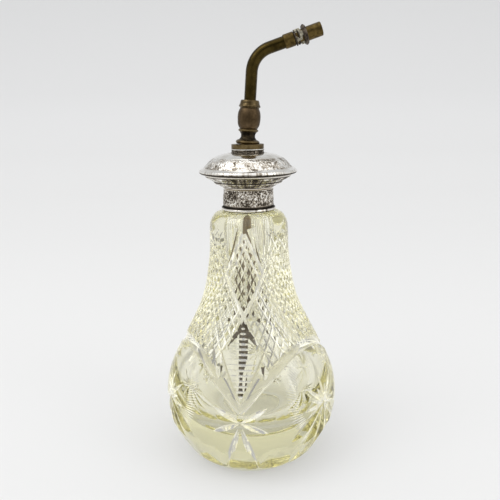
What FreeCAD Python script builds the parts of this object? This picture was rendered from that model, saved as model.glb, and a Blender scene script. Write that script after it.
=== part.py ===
import FreeCAD, Part
import math
import os

# Cut-glass scent atomiser. Millimetres, +Z up, base on z = 0, bottle axis on X = Y = 0.
# The swan neck points to +X; the side with the ladder of cuts faces -Y.

os.makedirs("parts", exist_ok=True)
V = FreeCAD.Vector

# ---- glass bottle ----
BODY_R = 38.2             # widest radius, at BODY_Z
BODY_Z = 27.0
FOOT_R = 24.5             # outer edge of the flat foot
FOOT_IN_R = 19.0          # inner edge of the foot ring
FOOT_RISE = 1.2           # hollow ground under the foot
SHOULDER_Z = 109.6        # glass under the silver bead
NECK_R = 9.0              # hidden glass neck inside the collar
NECK_TOP = 123.6
BORE_R = 7.0
BASE_THICK = 15.0
OUTER = [(27.0, 1.9), (30.8, 5.7), (33.6, 10.4), (36.1, 15.4), (37.6, 20.8), (BODY_R, BODY_Z),
         (37.9, 32.3), (36.8, 38.0), (34.5, 43.7), (31.6, 49.4), (28.6, 55.1), (25.7, 60.8),
         (22.9, 66.5), (20.7, 72.2), (19.2, 77.9), (18.2, 83.6), (17.4, 89.3), (17.0, 95.0),
         (16.9, 100.7), (16.7, 104.2)]
CAVITY = [(9.0, BASE_THICK + 0.7), (15.0, BASE_THICK + 2.2), (20.0, BASE_THICK + 4.9), (24.0, 24.2),
          (26.5, 29.6), (27.1, 35.5), (25.4, 41.5), (22.0, 48.0), (18.0, 55.0), (13.6, 63.0),
          (9.8, 71.5), (7.7, 80.0)]

# cutting on the glass: everything repeats three times round the bottle
TURN_A = -7.0             # azimuth of the first small star, from -Y towards +X
TURN_B = 53.0             # azimuth of the first large star
STAR_A_Z = 30.5
STAR_B_Z = 31.5
STAR_A_SPINS = (-62.0, 62.0)               # groove directions, from upright
STAR_B_SPINS = (0.0, -35.0, 35.0, -68.0, 68.0)
PANELS = 15               # flats round the foot
PANEL_Z = 9.0
PANEL_DEPTH = 0.7
MITRES = 12               # upright mitres on the neck

# ---- silver collar and neck fittings ----
SLEEVE_R = 10.55
SLEEVE_FOOT_R = 10.8
SLEEVE_BOT = 112.0
SLEEVE_TOP = 119.45
BEAD_R = 11.6
BEAD_Z = 110.8
BEAD_H = 1.7
FERRULE_R = 9.85
FERRULE_IN = 9.4
PITCH = 1.2               # screw pitch of the neck thread
THREAD_DEPTH = 0.18

# ---- silver cap ----
CAP_BOT = 119.7
CAP_TOP = 133.9
RIM_R = 20.6
RIM_Z = 126.4
SHELL = 0.7
LINER_IN = 9.9            # 0.05 mm running gap over the ferrule
LINER_R = 10.35
STUB_R = 7.0
STUB_TOP = 135.55

# ---- brass fitting ----
SPINDLE_R = 3.0
SPINDLE_BORE = 1.7
HUB_HOLE = 3.05           # running fit of the cap on the spindle
FLANGE_R = 6.8
FLANGE_BOT = 135.65
FLANGE_TOP = 137.5
LEAN = 4.2                # the stem leans towards +X by this many degrees
LEAN_Z = 137.5
BEAD_STEM_R = 5.0
WAIST_R = 2.95
RING_R = 4.15
BARREL_R = 4.75
BARREL_BOT = 143.75
BARREL_TOP = 151.9
CHAMBER_R = 3.1
GLAND_TOP = 155.2
GLAND_R = 4.55
TUBE_R = 2.45
TUBE_BORE = 1.8
TUBE_FOOT = 148.9
BEND_R = 10.5
RISE = 18.5               # slope of the hose arm above level
BEND_CORNER = 173.2       # height where the two straight centrelines would meet
ARM_LENGTH = 13.35        # from that corner to the face of the connector

# ---- hose connector, measured along the arm ----
SOCKET_R = 2.87
SPIGOT_R = 2.8
SPIGOT_END = 15.7
STOP_R = 4.05
STOP_S = 8.7
STOP_W = 1.5

# ---- dip tube ----
DIP_R = 2.0
DIP_BORE = 1.2
DIP_BOT = 17.2
DIP_BEND_Z = 118.5        # straight through the cork, then slanting towards -X
DIP_SLANT = 2.6
CORK_R = 9.6
CORK_T = 1.8


def save(shape, node):
    shape.exportStep("parts/%s.step" % node)


def turned(points):
    """Solid of revolution about Z from (radius, height) points."""
    pts = [V(r, 0, z) for r, z in points]
    pts.append(pts[0])
    face = Part.Face(Part.makePolygon(pts))
    return face.revolve(V(0, 0, 0), V(0, 0, 1), 360)


def turned_smooth(curved, straight):
    """Solid of revolution: a smooth outer curve, closed by straight lines back to its start."""
    curve = Part.BSplineCurve()
    curve.interpolate([V(r, 0, z) for r, z in curved])
    edges = [curve.toShape()]
    chain = [V(r, 0, z) for r, z in [curved[-1]] + straight + [curved[0]]]
    for a, b in zip(chain[:-1], chain[1:]):
        edges.append(Part.makeLine(a, b))
    face = Part.Face(Part.Wire(Part.__sortEdges__(edges)))
    return face.revolve(V(0, 0, 0), V(0, 0, 1), 360)


def tube(radius, bore, bottom, top):
    length = top - bottom
    body = Part.makeCylinder(radius, length, V(0, 0, bottom))
    return body.cut(Part.makeCylinder(bore, length + 2, V(0, 0, bottom - 1)))


def leaning(shape):
    """Carry a piece of the upright stem over to the leaning stem axis."""
    out = shape.copy()
    out.rotate(V(0, 0, LEAN_Z), V(0, 1, 0), LEAN)
    return out


def outer_radius(height):
    """Radius of the glass at a height, from the profile points."""
    pts = [(FOOT_R, 0.0)] + OUTER
    for (r0, z0), (r1, z1) in zip(pts[:-1], pts[1:]):
        if z0 <= height <= z1:
            return r0 + (r1 - r0) * (height - z0) / (z1 - z0)
    return pts[-1][0]


def outer_slope(height):
    """Angle of the outward normal above level, in degrees."""
    dr = outer_radius(height + 1.5) - outer_radius(height - 1.5)
    return -math.degrees(math.atan2(dr, 3.0))


# ---------------------------------------------------------------- glass bottle
def mitre_cut(azimuth, height, spin, depth, half_angle=50.0):
    """Straight V groove laid across the curved glass, so it runs out to a point at both ends."""
    proud = 6.0
    half = (proud + depth) * math.tan(math.radians(half_angle))
    vee = Part.makePolygon([V(0, depth, -20), V(half, -proud, -20), V(-half, -proud, -20),
                            V(0, depth, -20)])
    prism = Part.Face(vee).extrude(V(0, 0, 40))
    prism.rotate(V(0, 0, 0), V(0, 1, 0), spin)
    return place_on_glass(prism, azimuth, height)


def place_on_glass(shape, azimuth, height):
    """Move a cutter built at the origin, working face towards +Y, onto the glass."""
    out = shape.copy()
    out.rotate(V(0, 0, 0), V(1, 0, 0), -outer_slope(height))
    out.translate(V(0, -outer_radius(height), height))
    out.rotate(V(0, 0, 0), V(0, 0, 1), azimuth)
    return out


def glass_bottle():
    start = [(0, BASE_THICK), (0, FOOT_RISE), (FOOT_IN_R, FOOT_RISE), (FOOT_IN_R + 1, 0.0),
             (FOOT_R, 0.0)]
    inner = [(BORE_R, 88.0), (BORE_R, NECK_TOP)]
    neck = [(NECK_R, NECK_TOP), (NECK_R, SHOULDER_Z), (12.4, SHOULDER_Z),
            (13.8, SHOULDER_Z - 0.5), (15.6, SHOULDER_Z - 2.6), (16.7, SHOULDER_Z - 5.4)]
    outer = Part.BSplineCurve()
    outer.interpolate([V(r, 0, z) for r, z in [(FOOT_R, 0.0)] + OUTER[:-1] + [neck[-1]]])
    cavity = Part.BSplineCurve()
    cavity.interpolate([V(r, 0, z) for r, z in [(0, BASE_THICK)] + CAVITY + [inner[0]]])
    edges = [outer.toShape(), cavity.toShape()]
    for run in (start, list(reversed(neck)), [neck[0], inner[1]], inner):
        for a, b in zip(run[:-1], run[1:]):
            edges.append(Part.makeLine(V(a[0], 0, a[1]), V(b[0], 0, b[1])))
    face = Part.Face(Part.Wire(Part.__sortEdges__(edges)))
    blank = face.revolve(V(0, 0, 0), V(0, 0, 1), 360)

    for k in range(PANELS):
        flat = Part.makeBox(40, 12, 60, V(-20, PANEL_DEPTH - 12, -30))
        blank = blank.cut(place_on_glass(flat, TURN_A + 360.0 * (k + 0.5) / PANELS, PANEL_Z))
    for k in range(MITRES):
        blank = blank.cut(mitre_cut(TURN_A + 360.0 * (k + 0.5) / MITRES, 96.0, 0.0, 0.8, 40.0))
    for third in range(3):
        for spin in STAR_A_SPINS:
            blank = blank.cut(mitre_cut(TURN_A + 120 * third, STAR_A_Z, spin, 1.1))
        for spin in STAR_B_SPINS:
            blank = blank.cut(mitre_cut(TURN_B + 120 * third, STAR_B_Z, spin, 1.3))
    return blank


# ---------------------------------------------------------------- neck and collar
def neck_ferrule():
    body = tube(FERRULE_R, FERRULE_IN, 113.0, NECK_TOP)
    grooves = []
    level = SLEEVE_TOP + 0.7
    while level < NECK_TOP - 0.4:
        grooves.append(turned([(FERRULE_R - THREAD_DEPTH, level), (FERRULE_R + 0.2, level - 0.35),
                               (FERRULE_R + 0.2, level + 0.35)]))
        level += PITCH
    return body.cut(grooves)


def collar_sleeve():
    return turned([(FERRULE_R, SLEEVE_BOT), (SLEEVE_FOOT_R, SLEEVE_BOT), (SLEEVE_R, SLEEVE_TOP - 0.4),
                   (SLEEVE_R - 0.3, SLEEVE_TOP), (FERRULE_R, SLEEVE_TOP)])


def collar_bead():
    half = BEAD_H / 2
    ring = turned([(9.6, BEAD_Z - half), (BEAD_R - half, BEAD_Z - half), (BEAD_R - half, BEAD_Z + half),
                   (10.3, BEAD_Z + half), (10.3, SLEEVE_BOT), (9.6, SLEEVE_BOT)])
    roll = Part.makeTorus(BEAD_R - half, half, V(0, 0, BEAD_Z))
    return ring.fuse(roll).removeSplitter()


# ---------------------------------------------------------------- silver cap
def cap_dome():
    outer = [(HUB_HOLE, CAP_TOP), (8.6, CAP_TOP - 0.15), (11.4, CAP_TOP - 0.75), (14.6, CAP_TOP - 1.9),
             (16.6, CAP_TOP - 3.5), (18.4, CAP_TOP - 5.3), (20.0, RIM_Z + 0.9)]
    inner = [(19.2, RIM_Z + 0.9), (17.6, CAP_TOP - 5.7), (15.9, CAP_TOP - 4.0), (14.0, CAP_TOP - 2.5),
             (11.1, CAP_TOP - 1.5), (8.5, CAP_TOP - 0.9), (HUB_HOLE, CAP_TOP - SHELL)]
    return turned(outer + inner)


def cap_rim_wire():
    return turned([(18.2, 125.45), (19.4, 125.45), (20.3, 125.75), (RIM_R, RIM_Z - 0.1),
                   (20.4, 126.9), (20.0, 127.3), (18.9, 127.3), (18.2, 126.9)])


def cap_underside():
    return turned([(19.0, RIM_Z - 0.95), (17.6, 123.9), (16.0, 123.2), (15.1, 122.7), (14.4, 121.8),
                   (14.0, 121.4), (12.3, 120.9), (11.9, 120.4), (11.0, 120.3), (10.85, CAP_BOT),
                   (LINER_R, CAP_BOT), (LINER_R, 121.0), (11.4, 121.3), (13.4, 122.0), (14.2, 123.3),
                   (17.0, 124.6), (18.2, RIM_Z - 0.95)])


def cap_screw_liner():
    return tube(LINER_R, LINER_IN, CAP_BOT, 127.4)


def cap_filling():
    """Pitch that fills the hollow silver cap and holds the screw liner."""
    return turned([(LINER_R, 121.0), (11.4, 121.3), (13.4, 122.0), (14.2, 123.3), (17.0, 124.6),
                   (18.2, 125.45), (18.2, 126.9), (17.0, 128.2), (15.6, 129.6), (LINER_R, 129.6)])


def cap_stub():
    return turned([(HUB_HOLE, CAP_TOP), (STUB_R, CAP_TOP), (STUB_R, CAP_TOP + 0.2),
                   (STUB_R - 0.35, CAP_TOP + 0.4), (STUB_R - 0.35, STUB_TOP - 0.6),
                   (STUB_R, STUB_TOP - 0.4), (STUB_R, STUB_TOP), (HUB_HOLE, STUB_TOP)])


# ---------------------------------------------------------------- brass fitting
def spindle():
    return tube(SPINDLE_R, SPINDLE_BORE, 126.4, 139.0).cut(
        Part.makeCylinder(DIP_R, 3.0, V(0, 0, 126.4)))


def hex_nut(across_flats, bore, bottom, top):
    corner_r = across_flats / 2 / math.cos(math.radians(30))
    pts = []
    for k in range(7):
        a = math.radians(60 * k)
        pts.append(V(corner_r * math.cos(a), corner_r * math.sin(a), bottom))
    body = Part.Face(Part.makePolygon(pts)).extrude(V(0, 0, top - bottom))
    return body.cut(Part.makeCylinder(bore, top - bottom + 2, V(0, 0, bottom - 1)))


def stem_waist():
    body = turned([(SPINDLE_BORE, 139.25), (3.7, 139.25), (WAIST_R, 140.3), (WAIST_R, 141.4),
                   (3.5, 142.45), (SPINDLE_BORE, 142.45)])
    return leaning(body)


def base_bead():
    bead = turned([(SPINDLE_BORE, 137.5), (4.3, 137.5), (4.8, 137.8), (BEAD_STEM_R, 138.3),
                   (4.8, 138.8), (4.1, 139.25), (SPINDLE_BORE, 139.25)])
    bead = leaning(bead)
    return bead.cut(Part.makeCylinder(SPINDLE_R, 1.8, V(0, 0, 137.2))).cut(
        Part.makeBox(20, 20, 2, V(-10, -10, FLANGE_TOP - 2)))


def lower_ring():
    return leaning(turned([(SPINDLE_BORE, 142.45), (3.6, 142.45), (RING_R, 142.9), (RING_R, 143.2),
                           (3.6, BARREL_BOT), (SPINDLE_BORE, BARREL_BOT)]))


def barrel_and_jet():
    bulge = [(3.6, BARREL_BOT), (4.3, 144.9), (BARREL_R, 147.7), (4.5, 150.4), (3.9, BARREL_TOP)]
    body = turned_smooth(bulge, [(CHAMBER_R, BARREL_TOP), (CHAMBER_R, 145.2), (1.0, 145.2),
                                 (1.0, BARREL_BOT)])
    hole = Part.makeCylinder(0.9, 4.0, V(-2.9, 0, 147.0), V(-1, 0, 0))
    jet = Part.makeCylinder(0.9, 1.7, V(-CHAMBER_R, 0, 147.0), V(-1, 0, 0))
    jet = jet.common(turned([(0, BARREL_BOT), (3.6, BARREL_BOT), (4.65, 147.0), (4.65, 148.5),
                             (3.9, BARREL_TOP), (0, BARREL_TOP)]))
    jet = jet.cut(Part.makeCylinder(0.25, 6.0, V(-1, 0, 147.0), V(-1, 0, 0)))
    return leaning(body.cut(hole)), leaning(jet)


def gland_nut():
    hole = TUBE_R + 0.05
    return leaning(turned([(hole, BARREL_TOP), (3.8, BARREL_TOP), (4.1, 152.3), (GLAND_R, 152.7),
                           (4.25, 153.2), (4.0, 153.8), (3.9, 154.6), (3.6, GLAND_TOP),
                           (hole, GLAND_TOP)]))


def packing_ring():
    return leaning(turned([(TUBE_R + 0.05, 150.3), (CHAMBER_R, 150.3), (CHAMBER_R, BARREL_TOP),
                           (TUBE_R + 0.05, BARREL_TOP)]))


def dip_tube():
    reach = (DIP_BEND_Z - DIP_BOT) / math.cos(math.radians(DIP_SLANT))
    rods = []
    for radius, extra in ((DIP_R, 0.0), (DIP_BORE, 1.0)):
        upper = Part.makeCylinder(radius, 129.4 + extra - DIP_BEND_Z, V(0, 0, DIP_BEND_Z))
        lower = Part.makeCylinder(radius, reach + extra, V(0, 0, 0), V(0, 0, -1))
        lower.rotate(V(0, 0, 0), V(0, 1, 0), DIP_SLANT)
        lower.translate(V(0, 0, DIP_BEND_Z))
        rods.append(upper.fuse(Part.makeSphere(radius, V(0, 0, DIP_BEND_Z))).fuse(lower))
    aside = (DIP_BEND_Z - DIP_BOT) * math.tan(math.radians(DIP_SLANT))
    notch = Part.makeBox(1.4, 6, 1.4, V(-aside - 0.7, -3, DIP_BOT - 0.2))
    return rods[0].cut(rods[1]).cut(notch)


def riser_tube():
    return leaning(tube(1.0, 0.5, 139.4, 148.0).cut(
        Part.makeCylinder(0.5, 2.0, V(0, 0, 147.0), V(-1, 0, 0))))


# ---------------------------------------------------------------- swan neck
def arm_point(distance):
    """Point on the hose arm's centreline, measured from the connector's inner face."""
    corner_x = (BEND_CORNER - LEAN_Z) * math.tan(math.radians(LEAN))
    along = ARM_LENGTH + distance
    return V(corner_x + along * math.cos(math.radians(RISE)), 0,
             BEND_CORNER + along * math.sin(math.radians(RISE)))


ARM_DIR = V(math.cos(math.radians(RISE)), 0, math.sin(math.radians(RISE)))
STEM_DIR = V(math.sin(math.radians(LEAN)), 0, math.cos(math.radians(LEAN)))


def on_arm(points):
    """Turned piece whose (radius, distance) profile runs along the hose arm."""
    body = turned(points)
    body.rotate(V(0, 0, 0), V(0, 1, 0), 90 - RISE)
    body.translate(arm_point(0))
    return body


def swan_neck_tube():
    turn = math.radians(90 - LEAN - RISE)
    tangent = BEND_R * math.tan(turn / 2)
    corner = V((BEND_CORNER - LEAN_Z) * math.tan(math.radians(LEAN)), 0, BEND_CORNER)
    foot = V(0, 0, LEAN_Z) + STEM_DIR * ((TUBE_FOOT - LEAN_Z) / math.cos(math.radians(LEAN)))
    bend_in = corner - STEM_DIR * tangent
    bend_out = corner + ARM_DIR * tangent
    toward = (ARM_DIR - STEM_DIR)
    toward.normalize()
    middle = corner + toward * (BEND_R * (1 / math.cos(turn / 2) - 1))
    path = Part.Wire([Part.makeLine(foot, bend_in), Part.Arc(bend_in, middle, bend_out).toShape(),
                      Part.makeLine(bend_out, arm_point(1.2))])
    skins = []
    for radius in (TUBE_R, TUBE_BORE):
        ring = Part.Wire([Part.makeCircle(radius, foot, STEM_DIR)])
        skins.append(path.makePipeShell([ring], True, False))
    return skins[0].cut(skins[1])


def pivot_collar():
    return leaning(turned([(TUBE_R, TUBE_FOOT), (CHAMBER_R - 0.05, TUBE_FOOT),
                           (CHAMBER_R - 0.05, 150.2), (TUBE_R, 150.2)]))


def connector_socket():
    return on_arm([(TUBE_R, 0.0), (SOCKET_R - 0.2, 0.0), (SOCKET_R, 0.25), (SOCKET_R, 4.0),
                   (SOCKET_R - 0.35, 4.3), (SOCKET_R - 0.35, STOP_S - STOP_W / 2),
                   (TUBE_BORE, STOP_S - STOP_W / 2), (TUBE_BORE, 1.2), (TUBE_R, 1.2)])


def hose_stop_ring():
    half = STOP_W / 2
    return on_arm([(TUBE_BORE, STOP_S - half), (STOP_R - 0.5, STOP_S - half), (STOP_R, STOP_S - 0.2),
                   (STOP_R, STOP_S + 0.2), (STOP_R - 0.5, STOP_S + half), (TUBE_BORE, STOP_S + half)])


def hose_spigot():
    start = STOP_S + STOP_W / 2
    return on_arm([(TUBE_BORE, start), (SPIGOT_R, start), (SPIGOT_R, SPIGOT_END - 0.2),
                   (SPIGOT_R - 0.2, SPIGOT_END), (2.25, SPIGOT_END), (2.1, SPIGOT_END - 0.3),
                   (TUBE_BORE, SPIGOT_END - 0.3)])


def binding_wire():
    """Two slanting turns of the wire that tied the hose on."""
    groove = SOCKET_R - 0.35
    turns = []
    for place, tip, size in ((4.8, 5.0, 0.34), (5.8, -6.0, 0.28)):
        loop = Part.makeTorus(groove + size, size)
        loop.rotate(V(0, 0, 0), V(1, 0, 0), tip)
        loop.translate(V(0, 0, place))
        turns.append(loop)
    body = turns[0].fuse(turns[1])
    body = body.cut(Part.makeCylinder(groove, 20, V(0, 0, -5)))
    body.rotate(V(0, 0, 0), V(0, 1, 0), 90 - RISE)
    body.translate(arm_point(0))
    return body


def rubber_remnant():
    """Ring of perished hose rubber left behind the stop ring."""
    groove = SOCKET_R - 0.35
    return on_arm([(groove, 6.7), (groove + 0.5, 6.8), (groove + 0.85, 7.4), (groove + 0.6, 7.9),
                   (groove, 7.94)])


save(glass_bottle(), "glass_bottle")
save(tube(FERRULE_IN, NECK_R, 113.0, 123.0), "neck_cement")
save(neck_ferrule(), "threaded_neck_ferrule")
save(collar_sleeve(), "collar_sleeve")
save(collar_bead(), "collar_bead")

save(cap_dome(), "cap_dome")
save(cap_rim_wire(), "cap_rim_wire")
save(cap_underside(), "cap_underside")
save(cap_screw_liner(), "cap_screw_liner")
save(cap_filling(), "cap_filling")
save(cap_stub(), "cap_stub")

save(tube(CORK_R, DIP_R + 0.1, NECK_TOP + 0.05, NECK_TOP + 0.05 + CORK_T), "cork_seal")

save(spindle(), "spindle")
save(tube(9.0, DIP_R, 125.55, 126.4), "seal_plate")
save(hex_nut(10.0, SPINDLE_R, 129.9, 132.3), "lock_nut")
save(tube(5.6, SPINDLE_R, 132.3, 133.1), "fibre_washer")
save(tube(FLANGE_R, SPINDLE_R, FLANGE_BOT, FLANGE_TOP), "flange_disc")
save(base_bead(), "stem_base_bead")
save(stem_waist(), "stem_waist")
save(lower_ring(), "stem_lower_ring")
barrel, jet = barrel_and_jet()
save(barrel, "baluster_barrel")
save(jet, "spray_jet")
save(gland_nut(), "gland_nut")
save(packing_ring(), "gland_packing")
save(riser_tube(), "riser_tube")
save(dip_tube(), "dip_tube")

save(swan_neck_tube(), "swan_neck_tube")
save(pivot_collar(), "pivot_collar")
save(connector_socket(), "connector_socket")
save(hose_stop_ring(), "hose_stop_ring")
save(hose_spigot(), "hose_spigot")
save(binding_wire(), "binding_wire")
save(rubber_remnant(), "rubber_remnant")
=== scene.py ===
import math

import bpy
import numpy as np
from mathutils import Matrix, Vector


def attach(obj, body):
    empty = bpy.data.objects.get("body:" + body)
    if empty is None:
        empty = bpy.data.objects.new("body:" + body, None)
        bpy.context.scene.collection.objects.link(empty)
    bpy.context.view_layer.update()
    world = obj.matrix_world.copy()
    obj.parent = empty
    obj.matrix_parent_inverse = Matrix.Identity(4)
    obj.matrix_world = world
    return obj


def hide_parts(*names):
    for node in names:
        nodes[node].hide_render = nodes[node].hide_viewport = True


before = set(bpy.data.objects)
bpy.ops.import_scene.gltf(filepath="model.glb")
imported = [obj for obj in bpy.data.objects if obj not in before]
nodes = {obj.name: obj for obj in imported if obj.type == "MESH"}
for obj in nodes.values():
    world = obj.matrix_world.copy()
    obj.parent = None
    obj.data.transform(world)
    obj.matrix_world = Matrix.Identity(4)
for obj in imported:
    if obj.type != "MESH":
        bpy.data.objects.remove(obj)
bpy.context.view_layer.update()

MM = 0.001                         # the pieces are written in millimetres
TAU = 2 * math.pi


# ---------------------------------------------------------------- mesh helpers
def add_mesh(name, verts, faces, material, smooth=None):
    """Mesh object from millimetre points; smooth is the angle above which edges stay sharp."""
    mesh = bpy.data.meshes.new(name)
    mesh.from_pydata([tuple(c * MM for c in v) for v in verts], [], faces)
    mesh.update()
    obj = bpy.data.objects.new(name, mesh)
    bpy.context.scene.collection.objects.link(obj)
    if material:
        mesh.materials.append(material)
    if smooth is not None:
        mesh.shade_smooth()
        mesh.set_sharp_from_angle(angle=math.radians(smooth))
    return obj


def smooth_curve(points, steps=6):
    """Catmull-Rom curve through (radius, height) points."""
    p = [points[0]] + list(points) + [points[-1]]
    out = []
    for i in range(1, len(p) - 2):
        for s in range(steps):
            t = s / steps
            a, b, c, d = (np.array(q, float) for q in p[i - 1:i + 3])
            q = 0.5 * (2 * b + (c - a) * t + (2 * a - 5 * b + 4 * c - d) * t ** 2
                       + (3 * b - a - 3 * c + d) * t ** 3)
            out.append(tuple(q))
    out.append(tuple(points[-1]))
    return out


# ---------------------------------------------------------------- the glass
FOOT_IN_R, FOOT_RISE, BASE_THICK = 19.0, 1.2, 15.0
NECK_R, NECK_TOP, BORE_R = 9.0, 123.6, 7.0
# (radius, height) up the outside of the body, and from the bowl's floor up to the bore
OUTER = [(24.5, 0.0), (27.0, 1.9), (30.8, 5.7), (33.6, 10.4), (36.1, 15.4), (37.6, 20.8),
         (38.15, 27.0), (37.9, 32.3), (36.8, 38.0), (34.5, 43.7), (31.6, 49.4), (28.6, 55.1),
         (25.7, 60.8), (22.9, 66.5), (20.7, 72.2), (19.2, 77.9), (18.2, 83.6), (17.4, 89.3),
         (17.0, 95.0), (16.9, 100.7), (16.6, 104.4), (15.8, 106.7), (14.3, 108.7), (12.4, 109.5)]
CAVITY = [(0.0, BASE_THICK), (9.0, BASE_THICK + 0.7), (15.0, BASE_THICK + 2.2),
          (20.0, BASE_THICK + 4.9), (24.0, 24.2), (26.5, 29.6), (27.1, 35.5), (25.4, 41.5),
          (22.0, 48.0), (18.0, 55.0), (13.6, 63.0), (9.8, 71.5), (7.7, 80.0), (BORE_R, 88.0)]
TURN_A = -7.0                      # azimuth of the first small star, from -Y towards +X
SLOPE_SPAN = 0.8                   # the wall's slope is measured over this height either way

outer_curve = smooth_curve(OUTER, 4)
curve_r = np.array([p[0] for p in outer_curve])
curve_z = np.array([p[1] for p in outer_curve])


def glass_r(z):
    return float(np.interp(z, curve_z, curve_r))


def glass_slope(z):
    return (glass_r(z + SLOPE_SPAN) - glass_r(z - SLOPE_SPAN)) / (2 * SLOPE_SPAN)


def glass_point(psi, z, lift=0.0):
    """Point on the glass, psi degrees from the first small star's meridian, lifted off it."""
    slope = glass_slope(z)
    n_r, n_z = 1 / math.hypot(1, slope), -slope / math.hypot(1, slope)
    r, h = glass_r(z) + lift * n_r, z + lift * n_z
    a = math.radians(psi + TURN_A)
    return Vector((r * math.sin(a), -r * math.cos(a), h))


def glass_normal(psi, z):
    return (glass_point(psi, z, 1.0) - glass_point(psi, z, 0.0)).normalized()


# the ground and half polished finishes also give off a little painted light
POLISHED, SATIN, SOFT = 0, 1, 2    # finishes of the cuts: clear, ground, half polished


class Cutter:
    """Closed grooves that are cut together; the grooves of one cutter don't touch."""

    def __init__(self, finish=SATIN):
        self.verts = []
        self.faces = []
        self.finish = finish

    def sweep(self, path, section):
        """path: (psi, z) points; section: each point's (sideways, up) outline of the groove."""
        points = [glass_point(p, z) for p, z in path]
        count = len(section[0])
        start = len(self.verts)
        for i, (psi, z) in enumerate(path):
            before, after = points[max(i - 1, 0)], points[min(i + 1, len(points) - 1)]
            along = (after - before).normalized()
            up = glass_normal(psi, z)
            side = along.cross(up).normalized()
            for s, u in section[i]:
                self.verts.append(tuple(points[i] + side * s + up * u))
        for i in range(len(path) - 1):
            for j in range(count):
                k = (j + 1) % count
                a, b = start + i * count, start + (i + 1) * count
                self.faces.append((a + k, a + j, b + j, b + k))
        end = start + (len(path) - 1) * count
        self.faces.append(tuple(start + j for j in range(count)))
        self.faces.append(tuple(end + j for j in reversed(range(count))))

    def mitre(self, path, depth, half_angle=50.0, over=0.3, ends=(True, True)):
        """V groove; depth runs out to nothing at the ends that are marked True.

        depth and half_angle, the half of the V's opening in degrees, may be lists along the path.
        """
        n = len(path)
        section = []
        for i in range(n):
            t = i / (n - 1)
            fade = 1.0
            if ends[0] and ends[1]:
                fade = 1 - (2 * t - 1) ** 2
            elif ends[0]:
                fade = 1 - (1 - t) ** 2
            elif ends[1]:
                fade = 1 - t ** 2
            full = depth[i] if isinstance(depth, list) else depth
            d = full * fade - (0.04 if fade < 0.02 else 0.0)     # a run-out end lifts off the glass
            half = half_angle[i] if isinstance(half_angle, list) else half_angle
            w = (over + d) * math.tan(math.radians(half))
            section.append([(-w, over), (0.0, -d), (w, over)])
        self.sweep(path, section)

    def flute(self, path, widths, depths, over=0.5, arc=7):
        """Hollow groove with a round section."""
        section = []
        for w, d in zip(widths, depths):
            rho = (w * w / 4 + d * d) / (2 * d)
            top = math.acos(max(-1.0, min(1.0, (rho - d - over) / rho)))
            ring = []
            for j in range(arc):
                a = -top + 2 * top * j / (arc - 1)
                ring.append((rho * math.sin(a), rho - d - rho * math.cos(a)))
            section.append(ring)
        self.sweep(path, section)

    def obj(self, name, finishes):
        tool = add_mesh(name, self.verts, self.faces, None)
        for finish in finishes:
            tool.data.materials.append(finish)
        tool.data.polygons.foreach_set("material_index", [self.finish] * len(self.faces))
        return tool


def line_on_glass(start, end, steps):
    """(psi, z) points of the straight line between two places on the glass."""
    return [(start[0] + (end[0] - start[0]) * k / steps,
             start[1] + (end[1] - start[1]) * k / steps) for k in range(steps + 1)]


def ray(psi, z, angle, length, steps=6):
    """(psi, z) points running off from a place; angle is from straight up towards +psi."""
    out = []
    aside = length / steps * math.sin(math.radians(angle))
    climb = length / steps * math.cos(math.radians(angle))
    for _ in range(steps + 1):
        out.append((psi, z))
        slope = glass_slope(z)
        psi += math.degrees(aside / glass_r(z))
        z += climb / math.hypot(1, slope)
    return out


# The pattern repeats three times; places are psi (degrees round) and z (height).
THIRDS = (0.0, 120.0, 240.0)
STAR_A_Z, STAR_B_Z = 30.5, 31.5
ARCH = [(0.0, 34.5), (3.5, 38.3), (7.0, 41.2), (12.0, 44.2), (18.0, 46.9), (26.0, 50.0),
        (36.0, 53.0), (48.0, 54.8), (60.0, 55.3), (72.0, 54.8), (84.0, 53.0), (94.0, 50.0),
        (102.0, 46.9), (108.0, 44.2), (113.0, 41.2), (116.5, 38.3), (120.0, 34.5)]
ARCH_WIDE = [3.0, 4.6, 5.2, 5.2, 5.2, 5.0, 4.6, 4.4, 4.4, 4.4, 4.6, 5.0, 5.2, 5.2, 5.2, 4.6, 3.0]
RHOMB_TOP, RHOMB_SIDE, RHOMB_FOOT, RHOMB_HALF = 102.5, 86.0, 69.3, 26.0
KITE_TOP, KITE_SIDE, KITE_FOOT, KITE_HALF = 68.4, 53.6, 39.5, 15.5
# each side facet of the kite below the lozenge: psi, z, width, tilt in degrees
KITE_SIDES = [(1.4, 66.8, 0.8, 3.0), (3.9, 65.4, 2.2, 5.5), (6.5, 63.9, 3.4, 9.5),
              (9.2, 62.4, 4.0, 12.5), (11.8, 60.9, 4.0, 15.5), (14.2, 59.3, 3.0, 18.0),
              (15.2, 57.4, 2.2, 9.0), (15.5, 55.5, 2.0, 6.0), (15.5, 53.6, 2.0, 6.0)]
# the fine lines that narrow the kite's lower half
KITE_SPINE = [(5.0, 54.3), (4.2, 53.0), (3.7, 51.2), (2.75, 49.3), (2.35, 47.5), (2.05, 45.5),
              (2.0, 43.0), (2.0, 41.5)]
# short polished facets in the crossed field beside the kite: psi, z, width
FIELD_BITS = [(16.6, 75.3, 2.5), (22.5, 78.7, 2.0), (26.5, 74.9, 2.0), (21.0, 71.9, 2.3),
              (9.5, 70.5, 2.9), (16.0, 67.7, 3.4), (28.0, 67.4, 2.0), (22.5, 63.4, 2.0),
              (29.0, 60.5, 2.0)]
RUNG_TOP, RUNG_PITCH = 64.76, 1.86
RUNG_HALVES = (2.0, 3.4, 5.0, 7.6, 10.4, 12.6, 14.0, 14.2, 13.2, 11.8, 10.2, 8.4, 6.6, 4.4)
BIT_SHIFT, BIT_HALF = 2.0, 1.2      # the facets' turn outwards in degrees, half their length
FIELD_TOP = 92.5                   # the fine crossed cutting starts here
PETAL = 60.0                       # a petal's middle, from the small star beside it
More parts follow.
